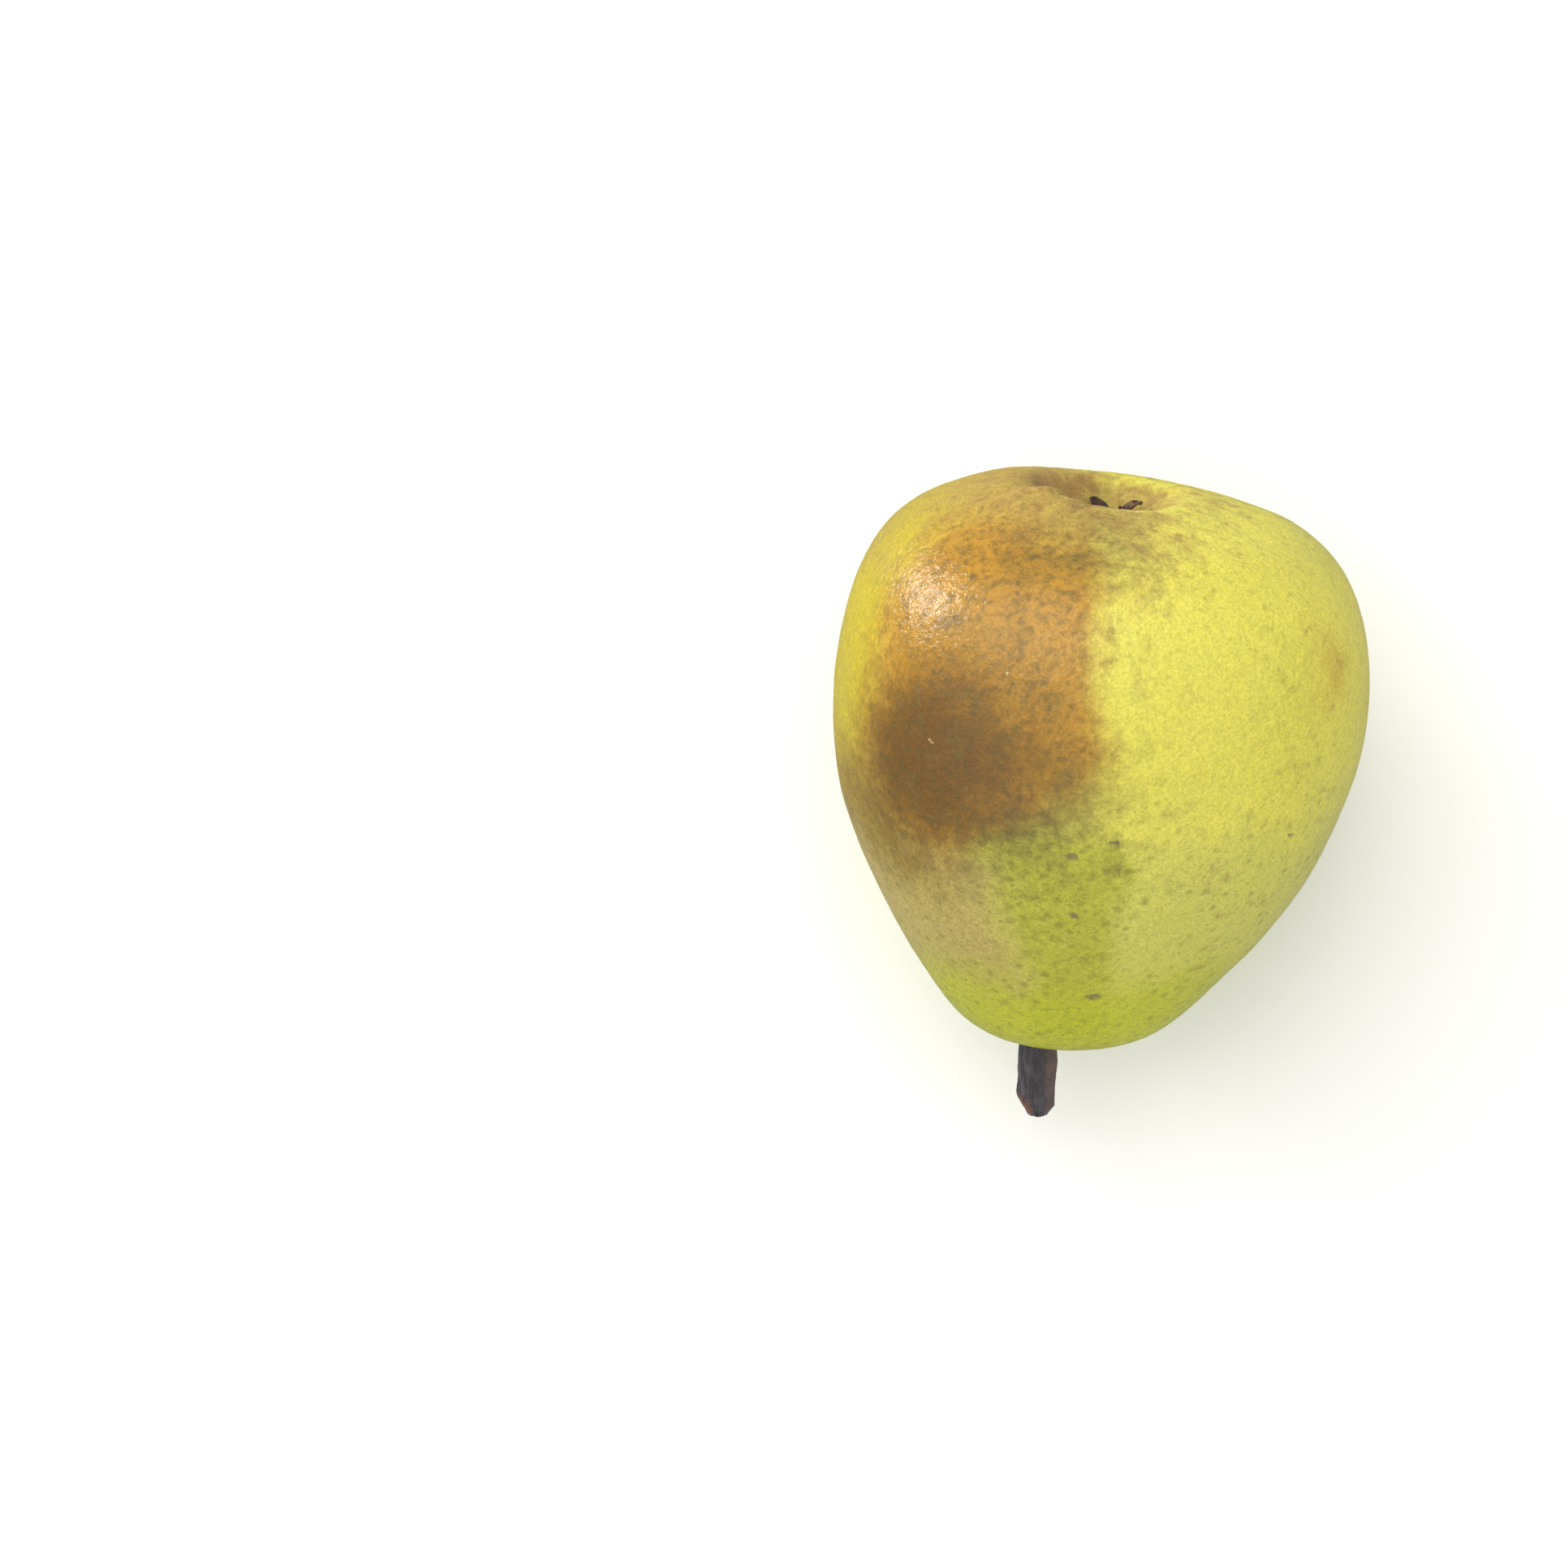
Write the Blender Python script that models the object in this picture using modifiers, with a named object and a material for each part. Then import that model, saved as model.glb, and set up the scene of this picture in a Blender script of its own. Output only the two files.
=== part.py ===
"""A ripe pear lying on its side, as picked, with its short woody stem and its dried calyx.

The pear is first modelled upright in its own frame: the axis is Z, the calyx is at the top and the height is
measured from the widest ring of the fruit. One empty then lays it down. The calyx points to +Y and up, the
neck and the stem point to -Y, and the fruit rests on a small flat spot at Z = 0.
"""

import math

import bmesh
import bpy
import numpy as np
from mathutils import Vector

MM = 0.001

# Outline of the fruit from the eye of the calyx to the stem's seat, as (radius, height) in millimetres.
# The points are the control points of a smooth curve, which runs a little inside them.
OUTLINE = (
    (0.0, 15.0),
    (4.2, 15.1),
    (6.4, 17.9),
    (9.2, 20.3),
    (15.8, 18.3),
    (24.0, 16.0),
    (29.4, 9.6),
    (31.5, 0.2),
    (30.9, -12.3),
    (27.4, -22.1),
    (22.8, -31.0),
    (18.1, -37.4),
    (12.7, -44.4),
    (6.8, -45.8),
    (0.0, -45.6),
)

# How the fruit leaves a true turned shape, in millimetres unless said otherwise
BEND_START = 5.0  # height where the neck starts to lean
BEND_LENGTH = 50.0
NECK_SHIFT = 3.9  # sideways shift of the neck at the stem
BEND_POWER = 2.5
CROWN_START = -8.0  # height where the crown's own shifts start
CROWN_LENGTH = 28.0
CROWN_SHIFT = 0.9
CROWN_SLOPE = 0.048  # rise of the crown's plane across the fruit
HIGH_SHOULDER = 2.9
HIGH_SHOULDER_X = -13.0
HIGH_SHOULDER_WIDTH = 11.0
CROWN_LOBES = 5
LOBE_DEPTH = 0.022  # share of the radius
LOBE_TURN = math.radians(20.0)
OVAL_DEPTH = 0.006  # share of the radius
OVAL_TURN = math.radians(35.0)
SEAT_X = -7.1  # the stem's seat, a shallow funnel beside the middle of the neck's end
SEAT_DEPTH = 1.0
SEAT_WIDTH = 2.6

# Resting place
LEAN = math.radians(21.0)  # angle of the axis over the table, with the calyx end up
FLAT_DEPTH = 0.30 * MM  # how far the resting side is pressed flat

# Stem
STEM_GAP = 0.3 * MM
SOCKET_DEPTH = 2.2 * MM
STEM_X = SEAT_X * MM
STEM_TOP = -43.2 * MM
STEM_LENGTH = 14.0 * MM
STEM_RADIUS = 2.25 * MM
STEM_BOW = 0.45 * MM
STEM_TIP_RADIUS = 1.35 * MM
STEM_CHAMFER = 2.0 * MM

# Calyx
SEPALS = 5
SEPAL_LENGTH = 3.8 * MM
SEPAL_WIDTH = 2.1 * MM
SEPAL_THICKNESS = 0.35 * MM
SEPAL_CIRCLE = 1.9 * MM
SEPAL_OPENING = math.radians(14.0)  # lean of each sepal away from the axis
SEPAL_CURL = math.radians(50.0)
TUFT_RADIUS = 1.25 * MM
TUFT_HEIGHT = 2.3 * MM
TUFT_RIBS = 9
TUFT_RIB_DEPTH = 0.16  # share of the radius
CALYX_GAP = 0.35 * MM

# Mesh detail
AROUND = 64
ALONG = 44
OUTLINE_STEPS = 240


def clear_scene():
    for item in list(bpy.data.objects):
        bpy.data.objects.remove(item, do_unlink=True)


def new_collection(name):
    collection = bpy.data.collections.new(name)
    bpy.context.scene.collection.children.link(collection)
    return collection


def new_material(name, colour, roughness):
    material = bpy.data.materials.new(name)
    material.use_nodes = True
    shader = material.node_tree.nodes["Principled BSDF"]
    shader.inputs["Base Color"].default_value = (*colour, 1.0)
    shader.inputs["Roughness"].default_value = roughness
    shader.inputs["Metallic"].default_value = 0.0
    material.diffuse_color = (*colour, 1.0)
    return material


def new_object(name, mesh, collection, material=None, parent=None):
    item = bpy.data.objects.new(name, mesh)
    collection.objects.link(item)
    item.parent = parent
    if material:
        mesh.materials.append(material)
    return item


def finish_bmesh(shape, name):
    bmesh.ops.recalc_face_normals(shape, faces=shape.faces)
    mesh = bpy.data.meshes.new(name)
    shape.to_mesh(mesh)
    shape.free()
    mesh.shade_smooth()
    return mesh


def smooth_step(value):
    share = min(max(value, 0.0), 1.0)
    return share * share * (3.0 - 2.0 * share)


def outline_curve():
    """Radius and height along a uniform cubic B-spline on OUTLINE, mirrored across the axis at both ends."""
    points = np.array(OUTLINE)
    mirror = np.array((-1.0, 1.0))
    points = np.vstack((points[1] * mirror, points, points[-2] * mirror))
    spans = len(OUTLINE) - 1
    place = np.linspace(0.0, spans, OUTLINE_STEPS)
    first = np.minimum(place.astype(int), spans - 1)
    share = (place - first)[:, None]
    weights = (
        (1.0 - share) ** 3,
        3.0 * share**3 - 6.0 * share**2 + 4.0,
        -3.0 * share**3 + 3.0 * share**2 + 3.0 * share + 1.0,
        share**3,
    )
    return sum(weight * points[first + i] for i, weight in enumerate(weights)) / 6.0


def fruit_point(curve, along, around):
    """A point of the skin, where along runs from the eye (0) to the stem (1) and around is in radians."""
    place = along * (len(curve) - 1)
    low = min(int(place), len(curve) - 2)
    radius, height = curve[low] + (curve[low + 1] - curve[low]) * (place - low)
    crown = smooth_step((height - CROWN_START) / CROWN_LENGTH)
    radius *= 1.0 + LOBE_DEPTH * crown * math.cos(CROWN_LOBES * (around - LOBE_TURN))
    radius *= 1.0 + OVAL_DEPTH * math.cos(2.0 * (around - OVAL_TURN))
    x = radius * math.cos(around)
    y = radius * math.sin(around)
    from_shoulder = ((x - HIGH_SHOULDER_X) ** 2 + y**2) / (2.0 * HIGH_SHOULDER_WIDTH**2)
    rise = crown * (HIGH_SHOULDER * math.exp(-from_shoulder) - CROWN_SLOPE * x)
    bend = max((BEND_START - height) / BEND_LENGTH, 0.0) ** BEND_POWER
    x += CROWN_SHIFT * crown - NECK_SHIFT * bend
    if height < BEND_START:
        rise += SEAT_DEPTH * math.exp(-((x - SEAT_X) ** 2 + y**2) / (2.0 * SEAT_WIDTH**2))
    return Vector((x, y, height + rise)) * MM


def build_fruit(collection, parent, material):
    curve = outline_curve()
    shape = bmesh.new()
    bmesh.ops.create_uvsphere(shape, u_segments=AROUND, v_segments=ALONG, radius=1.0)
    for vertex in shape.verts:
        along = math.acos(min(max(vertex.co.z, -1.0), 1.0)) / math.pi
        around = math.atan2(vertex.co.y, vertex.co.x)
        vertex.co = fruit_point(curve, along, around)
    return new_object("fruit", finish_bmesh(shape, "fruit"), collection, material, parent)


def build_stem(collection, parent, material):
    """A stalk of one tapering tube, slightly bowed, with a blunt chamfered tip."""
    curve = bpy.data.curves.new("stem", "CURVE")
    curve.dimensions = "3D"
    curve.bevel_depth = STEM_RADIUS
    curve.bevel_resolution = 4
    curve.use_fill_caps = True
    chamfer = STEM_CHAMFER / STEM_LENGTH
    tip = STEM_TIP_RADIUS / STEM_RADIUS
    stations = (
        (0.0, 0.94),
        (0.2, 0.97),
        (0.4, 1.0),
        (0.6, 1.02),
        (1.0 - chamfer, 1.06),
        (1.0 - 0.4 * chamfer, 0.5 + 0.5 * tip),
        (1.0, tip),
    )
    spline = curve.splines.new("POLY")
    spline.points.add(len(stations) - 1)
    for point, (share, thickness) in zip(spline.points, stations):
        bow = -STEM_BOW * math.sin(math.pi * share * 0.9)
        point.co = (STEM_X + bow, 0.0, STEM_TOP - STEM_LENGTH * share, 1.0)
        point.radius = thickness
    guide = bpy.data.objects.new("stem_guide", curve)
    collection.objects.link(guide)
    bpy.context.view_layer.update()
    evaluated = guide.evaluated_get(bpy.context.evaluated_depsgraph_get())
    shape = bmesh.new()
    shape.from_mesh(bpy.data.meshes.new_from_object(evaluated))
    bpy.data.objects.remove(guide)
    bmesh.ops.remove_doubles(shape, verts=shape.verts, dist=0.00001)
    return new_object("stem", finish_bmesh(shape, "stem"), collection, material, parent)


def build_socket_cutter(collection, parent):
    """The seat that the stem grows out of, a little wider than the stem."""
    shape = bmesh.new()
    bmesh.ops.create_cone(
        shape,
        cap_ends=True,
        segments=32,
        radius1=STEM_RADIUS + 2.5 * STEM_GAP,
        radius2=STEM_RADIUS + STEM_GAP,
        depth=2.0 * SOCKET_DEPTH,
    )
    cutter = new_object("stem_socket_cutter", finish_bmesh(shape, "stem_socket_cutter"), collection, None, parent)
    cutter.location = (STEM_X, 0.0, STEM_TOP + STEM_GAP - SOCKET_DEPTH)
    return cutter


def build_table_cutter(collection):
    """A slab with its top at Z = 0, which presses the resting side flat."""
    shape = bmesh.new()
    bmesh.ops.create_cube(shape, size=1.0)
    bmesh.ops.scale(shape, vec=(200.0 * MM, 200.0 * MM, 20.0 * MM), verts=shape.verts)
    bmesh.ops.translate(shape, vec=(0.0, 0.0, -10.0 * MM), verts=shape.verts)
    return new_object("table_cutter", finish_bmesh(shape, "table_cutter"), collection)


def cut(target, cutter):
    cutter.hide_render = True
    cutter.display_type = "WIRE"
    boolean = target.modifiers.new(cutter.name, "BOOLEAN")
    boolean.operation = "DIFFERENCE"
    boolean.solver = "EXACT"
    boolean.object = cutter


def build_sepal(index, seat, collection, parent, material):
    """A dried leaf of the calyx: a pointed strip that stands up, then curls away from the axis."""
    steps_along = 8
    steps_across = 4
    shape = bmesh.new()
    bmesh.ops.create_grid(shape, x_segments=steps_across, y_segments=steps_along, size=0.5)
    for vertex in shape.verts:
        across = vertex.co.x
        along = vertex.co.y + 0.5
        width = SEPAL_WIDTH * (1.0 - 0.88 * along**1.4)
        turn = SEPAL_OPENING + SEPAL_CURL * along
        start = SEPAL_OPENING
        bend_radius = SEPAL_LENGTH / SEPAL_CURL
        out = bend_radius * (math.cos(start) - math.cos(turn))
        up = bend_radius * (math.sin(turn) - math.sin(start))
        dish = 0.25 * width * (2.0 * across) ** 2
        vertex.co = (out - dish * math.cos(turn), across * width, up + dish * math.sin(turn))
    mesh = finish_bmesh(shape, f"sepal_{index + 1}")
    sepal = new_object(f"sepal_{index + 1}", mesh, collection, material, parent)
    thick = sepal.modifiers.new("thickness", "SOLIDIFY")
    thick.thickness = SEPAL_THICKNESS
    thick.offset = 0.0
    turn = 2.0 * math.pi * (index + 0.5) / SEPALS
    place = Vector((math.cos(turn), math.sin(turn), 0.0)) * SEPAL_CIRCLE
    sepal.location = seat + place + Vector((0.0, 0.0, CALYX_GAP + SEPAL_THICKNESS))
    sepal.rotation_euler = (0.0, 0.0, turn)
    return sepal


def build_stamen_tuft(seat, collection, parent, material):
    """The dried stamens and styles as one ribbed, tapering tuft."""
    shape = bmesh.new()
    bmesh.ops.create_cone(
        shape, cap_ends=True, segments=4 * TUFT_RIBS, radius1=1.0, radius2=1.0, depth=TUFT_HEIGHT
    )
    for vertex in shape.verts:
        turn = math.atan2(vertex.co.y, vertex.co.x)
        share = vertex.co.z / TUFT_HEIGHT + 0.5
        radius = TUFT_RADIUS * (1.0 - 0.3 * share) * (1.0 + TUFT_RIB_DEPTH * math.cos(TUFT_RIBS * turn))
        vertex.co.x = radius * math.cos(turn)
        vertex.co.y = radius * math.sin(turn)
    tuft = new_object("stamen_tuft", finish_bmesh(shape, "stamen_tuft"), collection, material, parent)
    tuft.location = seat + Vector((0.0, 0.0, CALYX_GAP + 0.5 * TUFT_HEIGHT))
    return tuft


def world_bounds(items):
    bpy.context.view_layer.update()
    corners = np.array([item.matrix_world @ vertex.co for item in items for vertex in item.data.vertices])
    return corners.min(axis=0), corners.max(axis=0)


def lay_down(holder, fruit, pieces):
    """Leans the axis over the table and centres the pear over the origin, pressed into the table a little."""
    holder.rotation_euler = (LEAN - math.pi / 2.0, 0.0, 0.0)
    fruit_low, _ = world_bounds([fruit])
    low, high = world_bounds(pieces)
    middle = (low + high) / 2.0
    holder.location = (-middle[0], -middle[1], -fruit_low[2] - FLAT_DEPTH)


def main():
    clear_scene()
    pear = new_collection("pear")
    cutters = new_collection("cutters")
    holder = bpy.data.objects.new("pear_axis", None)
    pear.objects.link(holder)

    skin = new_material("skin", (0.60, 0.52, 0.07), 0.42)
    bark = new_material("stem_bark", (0.10, 0.075, 0.055), 0.78)
    dry = new_material("dry_calyx", (0.13, 0.075, 0.035), 0.85)

    fruit = build_fruit(pear, holder, skin)
    stem = build_stem(pear, holder, bark)
    seat = fruit_point(outline_curve(), 0.0, 0.0)
    sepals = [build_sepal(i, seat, pear, holder, dry) for i in range(SEPALS)]
    tuft = build_stamen_tuft(seat, pear, holder, dry)
    lay_down(holder, fruit, [fruit, stem, *sepals, tuft])

    cut(fruit, build_socket_cutter(cutters, holder))
    cut(fruit, build_table_cutter(cutters))


main()
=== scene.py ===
import math
import bmesh
import bpy
import numpy as np
from mathutils import Matrix, Vector, noise


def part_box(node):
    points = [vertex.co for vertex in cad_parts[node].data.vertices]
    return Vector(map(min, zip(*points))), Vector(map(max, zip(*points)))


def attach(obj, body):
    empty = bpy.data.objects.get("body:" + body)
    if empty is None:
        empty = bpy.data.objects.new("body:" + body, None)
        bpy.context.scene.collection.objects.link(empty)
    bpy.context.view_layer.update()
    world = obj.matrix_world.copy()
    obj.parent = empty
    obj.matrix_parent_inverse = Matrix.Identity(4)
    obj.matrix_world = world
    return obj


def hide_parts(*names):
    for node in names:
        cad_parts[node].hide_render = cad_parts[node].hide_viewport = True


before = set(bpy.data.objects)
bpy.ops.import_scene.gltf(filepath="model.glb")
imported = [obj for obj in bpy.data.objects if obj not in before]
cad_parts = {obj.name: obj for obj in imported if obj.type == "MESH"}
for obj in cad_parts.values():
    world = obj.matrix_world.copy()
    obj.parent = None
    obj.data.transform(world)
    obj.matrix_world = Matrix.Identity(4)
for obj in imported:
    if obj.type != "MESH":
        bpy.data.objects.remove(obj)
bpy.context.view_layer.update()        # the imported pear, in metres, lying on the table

mm = 0.001
print("frame loaded:", ", ".join(sorted(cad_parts)))


# ramps and noise used all over the pear; lengths are in millimetres until a mesh is placed

def smoothStep(low, high, value):
    share = np.clip((value - low) / (high - low), 0.0, 1.0)
    return share * share * (3.0 - 2.0 * share)


def bell(value, middle, width):
    return np.exp(-((value - middle) ** 2) / (2.0 * width**2))


def noiseAt(points, scale, seed):
    shift = Vector((7.3, 3.1, 5.7)) * seed
    stretch = Vector(scale) if isinstance(scale, tuple) else Vector((scale, scale, scale))
    return np.array([noise.noise(Vector(point) * stretch + shift) for point in points])


def colourOf(code):
    parts = [int(code[i:i + 2], 16) / 255.0 for i in (1, 3, 5)]
    linear = [c / 12.92 if c <= 0.04045 else ((c + 0.055) / 1.055) ** 2.4 for c in parts]
    return (*linear, 1.0)


# short names for the shader nodes

def addNode(tree, kind, inputs=None, **settings):
    made = tree.nodes.new(kind)
    for name, value in settings.items():
        setattr(made, name, value)
    for name, value in (inputs or {}).items():
        plug(tree, made.inputs[name], value)
    return made


def plug(tree, socket, value):
    if isinstance(value, bpy.types.NodeSocket):
        tree.links.new(value, socket)
    else:
        socket.default_value = value


def calc(tree, operation, first, second=0.0, clamp=False):
    made = addNode(tree, "ShaderNodeMath", operation=operation, use_clamp=clamp)
    plug(tree, made.inputs[0], first)
    plug(tree, made.inputs[1], second)
    return made.outputs[0]


def ramp(tree, value, low, high, start=0.0, end=1.0):
    made = addNode(tree, "ShaderNodeMapRange", interpolation_type="SMOOTHSTEP")
    sockets = ("Value", "From Min", "From Max", "To Min", "To Max")
    for name, given in zip(sockets, (value, low, high, start, end)):
        plug(tree, made.inputs[name], given)
    return made.outputs[0]


def blendColour(tree, factor, first, second, way="MIX"):
    made = addNode(tree, "ShaderNodeMix", data_type="RGBA", blend_type=way)
    plug(tree, made.inputs[0], factor)
    plug(tree, made.inputs[6], first)
    plug(tree, made.inputs[7], second)
    return made.outputs[2]


def greyOf(tree, value):
    shares = {"Red": value, "Green": value, "Blue": value}
    return addNode(tree, "ShaderNodeCombineColor", shares).outputs[0]


def noiseNode(tree, place, scale, detail=3.0, roughness=0.55, distortion=0.0):
    inputs = {"Vector": place, "Scale": scale, "Detail": detail, "Roughness": roughness}
    inputs["Distortion"] = distortion
    return addNode(tree, "ShaderNodeTexNoise", inputs).outputs["Fac"]


def vectorCalc(tree, operation, *values):
    made = addNode(tree, "ShaderNodeVectorMath", operation=operation)
    for socket, value in zip(made.inputs, values):
        plug(tree, socket, value)
    return made.outputs["Value" if operation == "LENGTH" else "Vector"]


def wobbled(tree, place, scale, detail, strength):
    # the same place pushed about by noise, so that what sits on it isn't perfectly round
    wobble = addNode(tree, "ShaderNodeTexNoise", {"Vector": place, "Scale": scale, "Detail": detail})
    return vectorCalc(tree, "MULTIPLY_ADD", wobble.outputs["Color"], (strength, strength, strength), place)


def attribute(tree, name, output="Fac"):
    return addNode(tree, "ShaderNodeAttribute", attribute_name=name).outputs[output]


def newMaterial(name):
    material = bpy.data.materials.new(name)
    material.use_nodes = True
    tree = material.node_tree
    return material, tree, tree.nodes["Principled BSDF"]


# the pear's own shape, upright: Z is the axis, the calyx is up and heights start at the belly

pearShape = {
    "outline": [               # control points, radius and height, from the eye to the stem
        (0.0, 15.0), (4.2, 15.1), (6.4, 17.9), (9.2, 20.3), (15.8, 18.3), (24.0, 16.0), (29.4, 9.6),
        (31.5, 0.2), (30.9, -12.3), (27.4, -22.1), (22.8, -31.0), (18.1, -37.4), (12.7, -44.4),
        (6.8, -45.8), (0.0, -45.6),
    ],
    "bendStart": 5.0, "bendLength": 50.0, "bendPower": 2.5, "neckShift": 3.9,
    "crownStart": -8.0, "crownLength": 28.0, "crownShift": 0.9, "crownSlope": 0.048,
    "highShoulder": 2.9, "highShoulderX": -13.0, "highShoulderWidth": 11.0,
    "lobes": 5, "lobeDepth": 0.022, "lobeTurn": math.radians(20.0),
    "ovalDepth": 0.006, "ovalTurn": math.radians(35.0),
    "seatX": -7.1, "seatDepth": 1.0, "seatWidth": 2.6,
    "lean": math.radians(21.0),       # angle of the axis over the table
    "cadAround": 64, "cadAlong": 44,  # the grid of the plain solid, which fixes where the pear lies
}


def outlineCurve(steps=1200):
    points = np.array(pearShape["outline"])
    mirror = np.array((-1.0, 1.0))
    spans = len(points) - 1
    points = np.vstack((points[1] * mirror, points, points[-2] * mirror))
    place = np.linspace(0.0, spans, steps)
    first = np.minimum(place.astype(int), spans - 1)
    share = (place - first)[:, None]
    weights = (
        (1.0 - share) ** 3,
        3.0 * share**3 - 6.0 * share**2 + 4.0,
        -3.0 * share**3 + 3.0 * share**2 + 3.0 * share + 1.0,
        share**3,
    )
    return sum(weight * points[first + i] for i, weight in enumerate(weights)) / 6.0


def fruitPoints(along, around):
    s = pearShape
    curve = outlineCurve()
    steps = np.linspace(0.0, 1.0, len(curve))
    radius = np.interp(along, steps, curve[:, 0])
    height = np.interp(along, steps, curve[:, 1])
    crown = smoothStep(s["crownStart"], s["crownStart"] + s["crownLength"], height)
    radius = radius * (1.0 + s["lobeDepth"] * crown * np.cos(s["lobes"] * (around - s["lobeTurn"])))
    radius = radius * (1.0 + s["ovalDepth"] * np.cos(2.0 * (around - s["ovalTurn"])))
    x = radius * np.cos(around)
    y = radius * np.sin(around)
    fromShoulder = ((x - s["highShoulderX"]) ** 2 + y**2) / (2.0 * s["highShoulderWidth"] ** 2)
    rise = crown * (s["highShoulder"] * np.exp(-fromShoulder) - s["crownSlope"] * x)
    bend = np.maximum((s["bendStart"] - height) / s["bendLength"], 0.0) ** s["bendPower"]
    x = x + s["crownShift"] * crown - s["neckShift"] * bend
    fromSeat = ((x - s["seatX"]) ** 2 + y**2) / (2.0 * s["seatWidth"] ** 2)
    rise = rise + np.where(height < s["bendStart"], s["seatDepth"] * np.exp(-fromSeat), 0.0)
    return np.stack((x, y, height + rise), axis=1)


def skinSpot(facing, height):
    # facing in degrees from the side that looks up as the pear lies
    along = np.linspace(0.22, 0.98, 400)
    line = fruitPoints(along, np.full(400, math.radians(facing - 90.0)))
    return line[np.argmin(np.abs(line[:, 2] - height))]


def layDown():
    # the same grid as the plain solid is laid down and matched to that solid's box
    s = pearShape
    alongSteps = np.linspace(0, 1, s["cadAlong"] + 1)
    along, around = np.meshgrid(alongSteps, np.arange(s["cadAround"]) / s["cadAround"])
    points = fruitPoints(along.ravel(), around.ravel() * 2.0 * math.pi) * mm
    turn = Matrix.Rotation(s["lean"] - math.pi / 2.0, 3, "X")
    points = points @ np.array(turn).T
    low, high = (np.array(corner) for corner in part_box("fruit"))
    move = (low + high - points.min(axis=0) - points.max(axis=0)) / 2.0
    move[2] = high[2] - points[:, 2].max()
    return Matrix.Translation(move) @ turn.to_4x4() @ Matrix.Scale(mm, 4)


pearToWorld = layDown()
eye = Vector(fruitPoints(np.zeros(1), np.zeros(1))[0])
print("pear laid down, eye of the calyx at", [round(v, 4) for v in pearToWorld @ eye])


# meshes, and how each piece joins the frame

def newPiece(name, mesh, material, slot, *nodes):
    piece = bpy.data.objects.new(name, mesh)
    bpy.context.scene.collection.objects.link(piece)
    mesh.materials.append(material)
    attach(piece, "root")
    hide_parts(*nodes)
    return piece


def meshFrom(shape, name):
    mesh = bpy.data.meshes.new(name)
    shape.to_mesh(mesh)
    shape.free()
    mesh.shade_smooth()
    return mesh


def ballMesh(name, around, along):
    # a ball of rings, to be pushed into shape, and the place of each of its points
    shape = bmesh.new()
    bmesh.ops.create_uvsphere(shape, u_segments=around, v_segments=along, radius=1.0)
    mesh = meshFrom(shape, name)
    ball = np.zeros(len(mesh.vertices) * 3, dtype=np.float32)
    mesh.vertices.foreach_get("co", ball)
    return mesh, ball.reshape(-1, 3).astype(float)


def setPoints(mesh, points):
    mesh.vertices.foreach_set("co", points.astype(np.float32).ravel())


def inWorld(points):
    whole = np.array(pearToWorld)
    return points @ whole[:3, :3].T + whole[:3, 3]


def storeOn(mesh, placeName, points, masks):
    # the material reads these back: where each point sits on the pear, and how much of each shade it has
    store = mesh.attributes.new(placeName, "FLOAT_VECTOR", "POINT")
    store.data.foreach_set("vector", points.astype(np.float32).ravel())
    for name, values in masks.items():
        store = mesh.attributes.new(name, "FLOAT", "POINT")
        store.data.foreach_set("value", values.astype(np.float32))


# skin finish: everything is placed in the pear's own millimetres, so it stays on the fruit

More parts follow.
